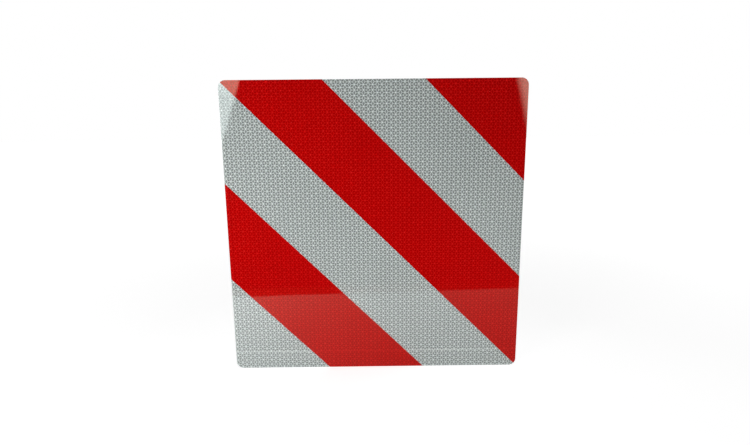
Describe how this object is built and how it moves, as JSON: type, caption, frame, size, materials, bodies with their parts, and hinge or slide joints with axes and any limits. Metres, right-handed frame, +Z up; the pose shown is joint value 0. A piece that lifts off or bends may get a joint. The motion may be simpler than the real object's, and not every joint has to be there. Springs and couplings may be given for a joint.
{
  "type": "overhanging load sign",
  "caption": "Square flat marker board with rounded corners and red and white diagonal retroreflective stripes, fixed by its back or edges to mark the end of an overhanging load.",
  "frame": {"origin": "centre of the board's bare back face", "axes": "+Z up along the board's height, +Y out of the back face, the striped face looks towards -Y"},
  "size_m": [0.423, 0.0025, 0.423],
  "materials": {
    "aluminium_sheet": "bare mill finish with a fine rolling grain along the sheet",
    "clear_adhesive": "clear acrylic adhesive, seen only as a thin line at the edge",
    "white_base_film": "white polymer film, seen only as a thin line at the edge",
    "prism_film": "smooth glossy film, silver grey cells between a net of white weld lines",
    "red_ink": "transparent glossy red over the same net of cells"
  },
  "bodies": {
    "root": {"backing_plate": "aluminium_sheet", "adhesive_layer": "clear_adhesive", "base_film": "white_base_film", "prism_film": "prism_film", "lower_red_stripe": "red_ink", "middle_red_stripe": "red_ink", "corner_red_stripe": "red_ink"}
  },
  "joints": []
}
